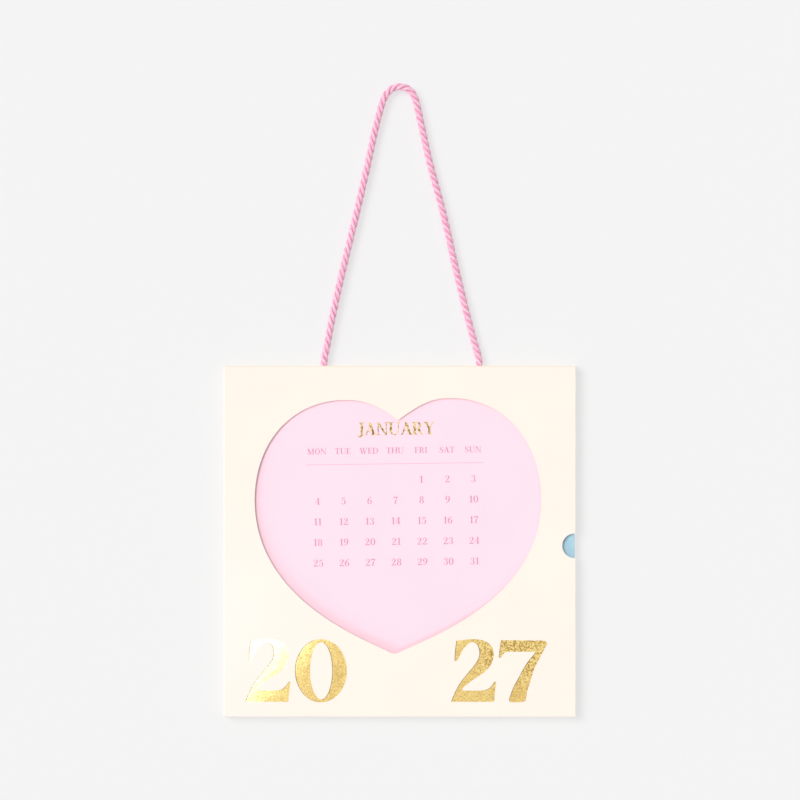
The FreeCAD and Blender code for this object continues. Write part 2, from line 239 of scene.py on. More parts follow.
def make_cord():
    """Each ply is a tube whose middle turns round the cord's line: middle = line + radius * (cos(turn) * side
    + sin(turn) * depth). Its yarns are low lobes that turn the other way, and its UVs run along them."""
    line, along = evenly(cord_line(CORD_ROUTE), RING_STEP)
    depth = np.array([0.0, 1.0, 0.0])
    side = unit(np.cross(depth, np.gradient(line, axis=0)))
    columns = PLY_SIDES + 1     # the first and last meet at the ply's inside, apart in the UVs
    spin = np.linspace(-np.pi, np.pi, columns)
    vertices, faces, crown_lights, uvs = [], [], [], []
    for ply in range(PLIES):
        turn = -2 * np.pi * (along / LAY + ply / PLIES)
        out = np.cos(turn)[:, None] * side + np.sin(turn)[:, None] * depth
        middle = line + (CORD_THICK / 2 - PLY_RADIUS) * out
        across = unit(np.cross(np.gradient(middle, axis=0), out))
        twist = spin[None] + 2 * np.pi * along[:, None] / YARN_TURN
        swell = PLY_RADIUS * (1 + 0.03 * np.sin(along * 900 + 2 * ply) * np.sin(along * 410))[:, None]
        groove = (1 - np.abs(np.cos(YARNS / 2 * twist))) ** 2
        swell = swell * (1 - YARN_GROOVE * groove)
        ring = np.cos(spin)[None, :, None] * out[:, None] + np.sin(spin)[None, :, None] * across[:, None]
        vertices.append((middle[:, None] + swell[..., None] * ring).reshape(-1, 3))
        faces.append(grid_faces(len(line), columns, ply * len(line) * columns, False))
        # painted light: high on the outside of each ply, low on its inside and in the yarns' grooves
        crown_lights.append((0.5 + 0.5 * np.cos(spin) - 0.35 * groove).ravel())
        places = np.broadcast_arrays(along[:, None], PLY_RADIUS * twist)
        uvs.append(UV_PER_METRE * np.stack(places, -1).reshape(-1, 2))
    cord = new_piece("hanging_cord_plies", np.concatenate(vertices), faces, pink_yarn, "sleeve", True)
    dress(cord, np.concatenate(crown_lights), np.concatenate(uvs))
    return cord, line


def make_fuzz(line, count):
    """Loose fibres that stand off the cord: each one is a thin three-sided spike. Its middle, at t from 0 to
    1, is the cord's line + out * (nearly the cord's radius + reach * sin(2.4 * t)) + drift * run * t. Seeded,
    so that it is the same every time."""
    dice = np.random.default_rng(7)
    at = dice.integers(BARE_START, len(line) - BARE_END, count)
    along = unit(np.gradient(line, axis=0))[at]
    depth = np.array([0.0, 1.0, 0.0])
    side = unit(np.cross(depth, along))
    turn = dice.uniform(0, 2 * np.pi, count)[:, None]
    out = np.cos(turn) * side + np.sin(turn) * depth
    drift = unit(along * dice.choice([-1, 1], (count, 1)) + dice.normal(0, 0.5, (count, 3)))
    reach = dice.uniform(0.0003, 0.0009, (count, 1))
    run = dice.uniform(0.0006, 0.0022, (count, 1))
    joints = np.linspace(0, 1, FIBRE_RINGS)
    middle = np.stack([line[at] + out * (CORD_THICK * 0.42 + reach * np.sin(t * 2.4)) + drift * run * t
                       for t in joints], 1)
    wide = (FIBRE_THICK / 2 * (1 - 0.8 * joints))[None, :, None, None]
    spin = np.arange(FIBRE_SIDES) * 2 * np.pi / FIBRE_SIDES
    ring = np.cos(spin)[:, None] * np.array([1, 0, 0]) + np.sin(spin)[:, None] * depth
    vertices = (middle[:, :, None] + wide * ring[None, None]).reshape(-1, 3)
    first = (np.arange(count) * FIBRE_RINGS * FIBRE_SIDES)[:, None, None]
    sides = (grid_faces(FIBRE_RINGS, FIBRE_SIDES)[None] + first).reshape(-1, 4)
    tip = (FIBRE_RINGS - 1) * FIBRE_SIDES
    ends = (np.array([[2, 1, 0], [tip, tip + 1, tip + 2]])[None] + first).reshape(-1, 3)
    fuzz = new_piece("cord_fibres", vertices, [sides, ends], pink_yarn, "sleeve", True)
    # the loose fibres all take the painted highlight's pale pink
    dress(fuzz, np.ones(len(vertices)), UV_PER_METRE * vertices[:, [2, 0]])
    return fuzz


cord, cord_middle = make_cord()
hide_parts("hanging_cord")
make_fuzz(cord_middle, FIBRES)


# The bars on the cord's ends: small moulded plastic bars that the cord's ends are set in. They lie under
# the top strip, out of sight, and keep the cord from pulling out of its holes.
def moulded_plastic():
    """Warm white plastic with a satin shine and a faint grain."""
    material, tree, shader = new_material("end_bar_plastic")
    place = node(tree, "ShaderNodeTexCoord").outputs["Object"]
    grain = noise(tree, place, 4000.0)
    tint = ramp(tree, grain, [(0.3, (0.84, 0.80, 0.75)), (0.7, (0.90, 0.87, 0.82))])
    tree.links.new(tint, shader.inputs["Base Color"])
    shader.inputs["Roughness"].default_value = 0.42
    bump(tree, shader, grain, 0.00002)
    return material


def refinish(name, material):
    """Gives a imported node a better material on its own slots."""
    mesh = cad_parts[name].data
    if not mesh.materials:
        mesh.materials.append(material)
    for index in range(len(mesh.materials)):
        mesh.materials[index] = material


plastic = moulded_plastic()
refinish("cord_end_left", plastic)
refinish("cord_end_right", plastic)


# The sleeve: one sheet of uncoated cream board, creased and glued into a flat case that is open at the
# right. A heart-shaped window and a thumb notch are die-cut in its front.
EDGE_ON = 0.06              # a face that looks this little towards Y is a cut edge or a fold


def between(tree, value, low, high):
    """1 where a value lies between the limits, and 0 elsewhere."""
    made = node(tree, "ShaderNodeMath", operation="COMPARE")
    tree.links.new(value, made.inputs[0])
    made.inputs[1].default_value = (low + high) / 2
    made.inputs[2].default_value = (high - low) / 2
    return made.outputs[0]


def times(tree, first, second):
    """The product of two values."""
    made = node(tree, "ShaderNodeMath", operation="MULTIPLY")
    tree.links.new(first, made.inputs[0])
    tree.links.new(second, made.inputs[1])
    return made.outputs[0]


def board(name, colour, core, folds=None):
    """Uncoated board: a felt of short fibres, faintly clouded, with a paler core on the cut edges. Where it
    has folds, they are given as limits of x and z, and light is painted on it by the way a face looks: a
    painted highlight on slopes that look down, such as the lower fold, and painted shade on slopes that
    look up, such as the upper one."""
    material, tree, shader = new_material(name)
    place = node(tree, "ShaderNodeTexCoord").outputs["Object"]
    clouds = noise(tree, place, 28.0, 3.0)
    pale = tuple(min(1.0, c * 1.006) for c in colour)
    deep = tuple(c * 0.993 for c in colour)
    tone = ramp(tree, clouds, [(0.35, deep), (0.65, pale)])
    normal = node(tree, "ShaderNodeSeparateXYZ")
    tree.links.new(node(tree, "ShaderNodeTexCoord").outputs["Normal"], normal.inputs[0])
    edge = between(tree, normal.outputs["Y"], -EDGE_ON, EDGE_ON)
    if folds:
        (left, right), (low, high) = folds
        spot = node(tree, "ShaderNodeSeparateXYZ")
        tree.links.new(place, spot.inputs[0])
        edge = times(tree, edge, between(tree, spot.outputs["X"], left, right))
        edge = times(tree, edge, between(tree, spot.outputs["Z"], low, high))
        upward = node(tree, "ShaderNodeMapRange")
        upward.inputs["From Min"].default_value = -1.0
        tree.links.new(normal.outputs["Z"], upward.inputs["Value"])
        # from 0, straight down, to 1, straight up: a painted highlight on the lower fold, painted shade on
        # the upper one
        fold_light = ramp(tree, upward.outputs[0], [
            (0.06, (1, 1, 1)), (0.12, (1, 1.03, 1.1)), (0.40, (1, 1.03, 1.1)), (0.47, (1, 1, 1)),
            (0.53, (1, 1, 1)), (0.60, (0.95, 0.89, 0.80)), (0.90, (0.95, 0.89, 0.80)), (0.96, (1, 1, 1))])
        modulated = node(tree, "ShaderNodeMix", data_type="RGBA", blend_type="MULTIPLY")
        modulated.inputs[0].default_value = 1.0
        tree.links.new(tone, modulated.inputs[6])
        tree.links.new(fold_light, modulated.inputs[7])
        tone = modulated.outputs[2]
    mixed = node(tree, "ShaderNodeMix", data_type="RGBA")
    mixed.inputs[7].default_value = (*core, 1)
    tree.links.new(edge, mixed.inputs[0])
    tree.links.new(tone, mixed.inputs[6])
    tree.links.new(mixed.outputs[2], shader.inputs["Base Color"])
    shader.inputs["Roughness"].default_value = 0.82
    shader.inputs["Specular IOR Level"].default_value = 0.25
    felt = bump(tree, shader, noise(tree, place, 900.0, 4.0), 0.00003)
    bump(tree, shader, noise(tree, place, 260.0, 2.0, (1, 1, 2.5)), 0.00002, felt)
    return material


CREAM = (0.969, 0.871, 0.784)
CREAM_CORE = (0.95, 0.91, 0.85)
FOLD = 0.0006               # how far a fold reaches in from the sleeve's sides
sleeve_low, sleeve_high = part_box("sleeve")
SLEEVE_FACE = sleeve_low.y
SLEEVE_FOOT = sleeve_low.z
refinish("sleeve", board("sleeve_board", CREAM, CREAM_CORE,
                         ((sleeve_low.x + FOLD, 1.0), (SLEEVE_FOOT + FOLD, sleeve_high.z - FOLD))))

# The year on the sleeve's front: four figures stamped in gold foil, a soft metal skin a few hundredths
# of a millimetre thick, with a grainy, slightly crinkled shine.
SKIN = 0.00002              # foil and ink stand this proud
SKIN_GAP = 0.000003         # and float this clear of the board
YEAR_GAP = 0.00001          # the year's foil floats clear of its painted shadow too
SHADOW_SKIN = 0.000004        # which is thinner
INK, BARE = 1, 0            # a shape is either laid on or cut out of those before it


def smooth(points, steps=6):
    """A Catmull-Rom curve through the points, in every column."""
    p = np.asarray(points, float)
    p = np.concatenate([2 * p[:1] - p[1:2], p, 2 * p[-1:] - p[-2:-1]])
    t = np.linspace(0, 1, steps, endpoint=False)[None, :, None]
    a, b, c, d = (p[i:len(p) - 3 + i, None] for i in range(4))
    curve = 0.5 * (2 * b + (c - a) * t + (2 * a - 5 * b + 4 * c - d) * t ** 2
                   + (3 * b - a - 3 * c + d) * t ** 3)
    return np.concatenate([curve.reshape(-1, p.shape[1]), p[-2:-1]])


def outline(*runs):
    """A closed shape from runs that are each smooth and meet at corners."""
    return np.concatenate([smooth(run)[:-1] if len(run) > 2 else np.array(run, float)[:-1] for run in runs])


def oval(x, y, reach, rise, steps=28):
    """An oval about a middle: x + reach * cos(turn) and y + rise * sin(turn)."""
    turn = np.linspace(0, 2 * np.pi, steps, endpoint=False)
    return np.stack([x + reach * np.cos(turn), y + rise * np.sin(turn)], 1)


def leftward(shape):
    """The same shape, run round to the left. Twice its area is the sum of x * next y - y * next x."""
    x, y = shape.T
    return shape if np.sum(x * np.roll(y, -1) - y * np.roll(x, -1)) > 0 else shape[::-1]


def stamp(shapes):
    """Flat triangles over what the shapes leave inked, each shape laid on or cut out of those before it."""
    shapes = [(kind, leftward(shape)) for kind, shape in shapes]
    points = [tuple(p) for _, shape in shapes for p in shape.tolist()]
    ends = np.cumsum([len(shape) for _, shape in shapes])
    loops = [list(range(end - len(shape), end)) for end, (_, shape) in zip(ends, shapes)]
    corners, _, triangles, _, _, sources = delaunay_2d_cdt(points, [], loops, 1, 1e-7)
    kept = [triangle for triangle, source in zip(triangles, sources)
            if source and shapes[max(source)][0] == INK]
    return np.array([tuple(corner) for corner in corners]), np.array(kept)


def skin(name, sheets, face, material, body, turn=0.0, middle=(0.0, 0.0), back=SKIN_GAP, thick=SKIN):
    """A thin closed skin on the board: each sheet's triangles in front and behind, and walls along the
    edges that only one triangle has. The whole can be turned about a middle."""
    vertices, faces, walls, count = [], [], [], 0
    for corners, triangles in sheets:
        used, triangles = np.unique(triangles, return_inverse=True)
        corners, triangles = corners[used], triangles.reshape(-1, 3)
        edges = np.concatenate([triangles[:, [0, 1]], triangles[:, [1, 2]], triangles[:, [2, 0]]])
        _, which, uses = np.unique(np.sort(edges, 1), axis=0, return_inverse=True, return_counts=True)
        rim = edges[uses[which.ravel()] == 1]
        total = len(corners)
        dx, dz = (corners - middle).T
        x = middle[0] + dx * np.cos(turn) - dz * np.sin(turn)
        z = middle[1] + dx * np.sin(turn) + dz * np.cos(turn)
        for y in (face - back - thick, face - back):
            vertices.append(np.stack([x, np.full(total, y), z], 1))
        faces += [triangles + count, triangles[:, ::-1] + count + total]
        walls.append(np.stack([rim[:, 1], rim[:, 0], rim[:, 0] + total, rim[:, 1] + total], 1) + count)
        count += 2 * total
    return new_piece(name, np.concatenate(vertices), faces + walls, material, body)


GLITTER = (0.064, SLEEVE_FACE, -0.317)      # the foil is most broken up round here
GLITTER_FULL, GLITTER_ENDS = 0.012, 0.030   # up to this far from it, and least beyond this


def foil(name, light, deep, fine):
    """Lacquered gold foil: grain and small crinkles turn its mirror a little this way and that."""
    material, tree, shader = new_material(name)
    place = node(tree, "ShaderNodeTexCoord").outputs["Object"]
    shader.inputs["Metallic"].default_value = 1.0
    shader.inputs["Coat Weight"].default_value = 0.6
    shader.inputs["Coat Roughness"].default_value = 0.25
    grain = noise(tree, place, fine, 4.0)
    patches = blend(tree, 0.25, grain, noise(tree, place, fine / 7))
    tone = ramp(tree, patches, [(0.42, deep), (0.57, light)])
    away = node(tree, "ShaderNodeVectorMath", operation="DISTANCE")
    tree.links.new(place, away.inputs[0])
    away.inputs[1].default_value = GLITTER
    broken = node(tree, "ShaderNodeMapRange")
    limits = {"From Min": GLITTER_FULL, "From Max": GLITTER_ENDS, "To Min": 1.0, "To Max": 0.20}
    for limit, value in limits.items():
        broken.inputs[limit].default_value = value
    tree.links.new(away.outputs["Value"], broken.inputs["Value"])
    specks = ramp(tree, noise(tree, place, 1000.0, 2.0), [
        (0.40, (0.56, 0.49, 0.34)), (0.50, (0.96, 0.94, 0.86)), (0.60, (1.2, 1.22, 1.45))])
    mixed = node(tree, "ShaderNodeMix", data_type="RGBA", blend_type="MULTIPLY")
    tree.links.new(broken.outputs[0], mixed.inputs[0])
    tree.links.new(tone, mixed.inputs[6])
    tree.links.new(specks, mixed.inputs[7])
    tree.links.new(mixed.outputs[2], shader.inputs["Base Color"])
    modulated = node(tree, "ShaderNodeMapRange")
    modulated.inputs["To Min"].default_value = 0.26
    modulated.inputs["To Max"].default_value = 0.36
    tree.links.new(noise(tree, place, 420.0), modulated.inputs["Value"])
    tree.links.new(modulated.outputs[0], shader.inputs["Roughness"])
    crinkle = bump(tree, shader, noise(tree, place, 300.0, 3.0), 0.00016)
    bump(tree, shader, grain, 0.00012, crinkle)
    return material


# in millimetres, from the foot of the figure's left edge
TWO = [(INK, outline(
    [(2.84, 34.65), (2.2, 29.0), (1.9, 23.9), (2.5, 23.3), (3.69, 24.6), (6.25, 29.54), (9.09, 32.66),
     (11.93, 33.91), (14.77, 32.38), (16.02, 28.12), (15.34, 24.42), (12.5, 19.88), (9.09, 15.9),
     (5.11, 10.79), (2.27, 5.68), (0.11, 0.57), (0.0, 0.0)],
    [(0.0, 0.0), (24.03, 0.0)],
    [(24.03, 0.0), (24.42, 4.5), (25.1, 10.6), (24.75, 11.36), (24.2, 10.9), (23.0, 9.09), (20.45, 7.1),
     (16.47, 6.36), (5.68, 6.36)],
    [(5.68, 6.36), (6.53, 7.95), (9.66, 10.79), (14.2, 13.92), (18.74, 17.04), (22.15, 21.02), (23.74, 25.56),
     (23.57, 29.25), (21.58, 32.66), (17.61, 34.93), (11.93, 35.61), (6.82, 35.1), (2.84, 34.65)]))]
NAUGHT = [(INK, oval(14.6, 17.95, 14.6, 17.95, 72)), (BARE, oval(14.72, 17.9, 6.48, 16.36, 64))]
SEVEN = [(INK, outline(
    [(1.31, 35.33), (0.5, 30.5), (0.0, 26.0), (0.5, 25.2), (1.3, 26.0), (2.67, 28.0), (4.37, 28.8)],
    [(4.37, 28.8), (20.85, 28.68)],
    [(20.85, 28.68), (19.71, 26.98), (16.87, 23.57), (14.03, 19.31), (11.19, 13.92), (8.35, 8.8),
     (6.65, 4.26), (5.74, 1.42), (6.65, 0.1), (8.6, 0.0)],
    [(8.6, 0.0), (12.33, 0.11)],
    [(12.33, 0.11), (14.2, 0.5), (15.0, 1.7), (15.73, 5.96), (17.44, 11.64), (19.14, 17.32), (20.85, 21.3),
     (23.4, 26.13), (25.39, 30.1), (26.87, 32.6), (26.8, 34.2), (25.67, 34.95), (24.0, 35.05)],
    [(24.0, 35.05), (1.31, 35.33)]))]
# each figure's shapes, its left edge, and its rise over the sleeve's foot
YEAR = {"year_first_two": (TWO, -87.2, 8.9), "year_naught": (NAUGHT, -59.1, 8.6),
        "year_second_two": (TWO, 29.8, 8.9), "year_seven": (SEVEN, 56.9, 8.6)}
MM = 0.001
SHADOW_SHIFT = -0.33         # painted shadow: a dark copy of each figure, shifted left, stands for the shade in the pressed-in edge at the left of every stroke


def press_shade():
    """A painted shadow: dark, matt colour for the shade on the side of the hollow that the stamp pressed."""
    material, tree, shader = new_material("press_shade")
    shader.inputs["Base Color"].default_value = (0.19, 0.12, 0.055, 1)
    shader.inputs["Roughness"].default_value = 0.7
    return material


year_foil = foil("year_foil", (1.0, 0.76, 0.28), (0.80, 0.53, 0.16), 1100.0)
painted_press_shadows = []
for name, (shapes, left, rise) in YEAR.items():
    corners, triangles = stamp(shapes)
    placed = corners * MM + np.array([left * MM, SLEEVE_FOOT + rise * MM])
    # a painted shadow: the same figure, shifted left and dark, lies between the board and the foil
    painted_press_shadows.append((placed + (SHADOW_SHIFT * MM, 0), triangles))
    figure = skin(name, [(placed, triangles)], SLEEVE_FACE, year_foil, "sleeve", back=YEAR_GAP)
year_painted_shadows = skin("year_painted_shadows", painted_press_shadows, SLEEVE_FACE, press_shade(), "sleeve", thick=SHADOW_SKIN)

# The month cards: one loose card of tinted board for each month, printed with the month's name in gold
# foil and its weekdays and dates in ink. January stands in front, a little tilted.
MONTHS = [name.lower() for name in calendar.month_name[1:]]
WEEKDAYS = ["MON", "TUE", "WED", "THU", "FRI", "SAT", "SUN"]
YEAR_NUMBER = 2027
CARD_COLOURS = {
    "january": (0.940, 0.629, 0.714), "february": (0.389, 0.599, 0.706), "march": (0.528, 0.707, 0.544),
    "april": (0.878, 0.778, 0.433), "may": (0.889, 0.622, 0.467), "june": (0.811, 0.478, 0.478),
    "july": (0.622, 0.533, 0.772), "august": (0.461, 0.717, 0.678), "september": (0.844, 0.70, 0.544),
    "october": (0.822, 0.522, 0.356), "november": (0.644, 0.611, 0.544), "december": (0.578, 0.717, 0.644)}
JANUARY_INK = (0.60, 0.25, 0.395)
INK_SHADE = 0.72            # the other months' inks are their board's colour squared, times this
CORE_SHARE, CORE_WHITE = 0.6, 0.33      # a card's core is this much of its colour, and this much white
FRONT_TILT = np.radians(0.8)

STEM = 0.165                # thick strokes, as a share of a letter's height
HAIR = 0.062                # thin ones
FULL = STEM / 2 + 0.085     # half the serif of a thick stroke
THIN = HAIR / 2 + 0.085     # and of a thin one


def rect(x0, y0, x1, y1):
    """An upright rectangle between two opposite corners."""
    return np.array([(x0, y0), (x1, y0), (x1, y1), (x0, y1)])


def slant(foot_x, head_x, wide, low=0.0, high=1.0):
    """A straight stroke from the foot to the head, cut level."""
    half = wide / 2
    return np.array([(foot_x - half, low), (foot_x + half, low),
                     (head_x + half, high), (head_x - half, high)])


def lobe(x, low, high, straight, reach):
    """A D shape: level from x for the straight's length, then half an oval."""
    turn = np.linspace(-np.pi / 2, np.pi / 2, 15)
    middle, rise = (low + high) / 2, (high - low) / 2
    bow = np.stack([x + straight + (reach - straight) * np.cos(turn), middle + rise * np.sin(turn)], 1)
    return np.concatenate([[(x, low)], bow, [(x, high)]])


def brush(*points):
    """A pen stroke along a smooth line through points of (x, y, width)."""
    line = smooth(points)
    run = unit(np.gradient(line[:, :2], axis=0))
    side = np.stack([-run[:, 1], run[:, 0]], 1) * line[:, 2:] / 2
    return np.concatenate([line[:, :2] - side, (line[:, :2] + side)[::-1]])


def stem(x, low=0.0, high=1.0, wide=STEM):
    """An upright stroke about x."""
    return rect(x - wide / 2, low, x + wide / 2, high)


def foot(x, half, level=0.0):
    """A hairline serif that reaches half its length to each side of x."""
    return rect(x - half, level, x + half, level + HAIR)


def head(x, half):
    """The same serif at the letter's top."""
    return foot(x, half, 1 - HAIR)


def beak(x, tip, low, high, wide=HAIR):
    """The pointed serif at the end of a level arm, upright at x and thinner towards its tip."""
    return np.array([(x - wide, high), (x, high), (x + tip, low), (x + tip - wide / 2, low)])


def bowl(x, low, high, straight, reach, heavy=STEM):
    """A lobe less a smaller one, which leaves hairlines above and below and a heavy side."""
    return [(INK, lobe(x, low, high, straight, reach)),
            (BARE, lobe(x, low + HAIR, high - HAIR, straight, reach - heavy))]


def ring(x, y, reach, rise, heavy=STEM):
    """An oval less a narrower one, which leaves hairlines above and below and two heavy sides."""
    return [(INK, oval(x, y, reach, rise)), (BARE, oval(x, y, reach - heavy, rise - HAIR))]


def ink(*shapes):
    """Shapes that are all laid on."""
    return [(INK, shape) for shape in shapes]


SIX = ring(0.29, 0.31, 0.25, 0.32, 0.145) + ink(
    brush((0.115, 0.30, 0.13), (0.13, 0.52, 0.145), (0.20, 0.76, 0.11), (0.33, 0.93, 0.06),
          (0.45, 0.965, 0.045)),
    oval(0.455, 0.90, 0.06, 0.065, 16))
NINE = [(kind, np.array([0.58, 1.0]) - shape) for kind, shape in SIX]

